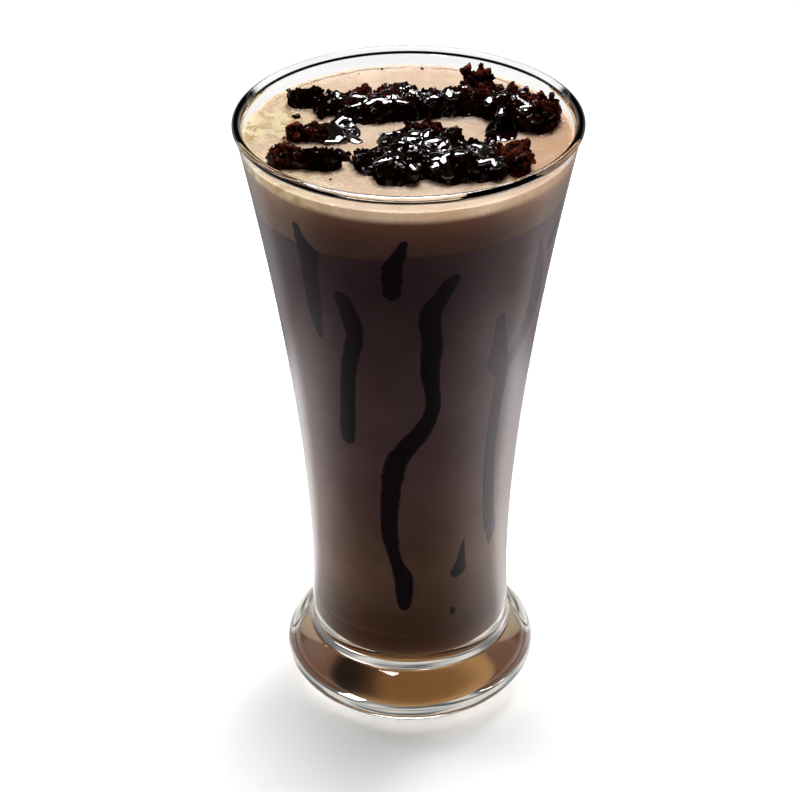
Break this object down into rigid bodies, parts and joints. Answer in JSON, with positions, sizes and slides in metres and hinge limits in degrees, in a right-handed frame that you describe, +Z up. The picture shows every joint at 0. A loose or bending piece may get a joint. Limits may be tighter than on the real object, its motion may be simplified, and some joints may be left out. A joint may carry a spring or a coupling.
{
  "type": "chocolate milkshake",
  "caption": "Chocolate milkshake in a tall flared glass with a thick round foot, chocolate syrup streaks down the inside, a pale froth layer and brownie pieces on top.",
  "frame": {"origin": "centre of the underside of the glass's foot", "axes": "+Z up along the glass's axis, -Y towards the viewer of the picture, +X to the right"},
  "size_m": [0.084, 0.084, 0.1688],
  "materials": {
    "glass": "clear, smooth, polished",
    "milkshake": "smooth opaque drink, mauve brown",
    "froth": "matte, fine bubbles, pale tan",
    "syrup": "dark glossy chocolate syrup",
    "brownie": "dark crumbly cake, glossy where syrup wets it"
  },
  "bodies": {
    "root": {"glass": "glass", "milkshake": "milkshake", "froth": "froth", "syrup_run_1": "syrup", "syrup_run_2": "syrup", "syrup_run_3": "syrup", "syrup_run_4": "syrup", "syrup_run_5": "syrup", "syrup_run_6": "syrup", "syrup_run_7": "syrup", "syrup_drop": "syrup", "brownie_left_slab": "brownie", "brownie_left_crumb": "brownie", "brownie_back_left": "brownie", "brownie_back_middle": "brownie", "brownie_back_right": "brownie", "brownie_front": "brownie", "brownie_front_right": "brownie"}
  },
  "joints": []
}
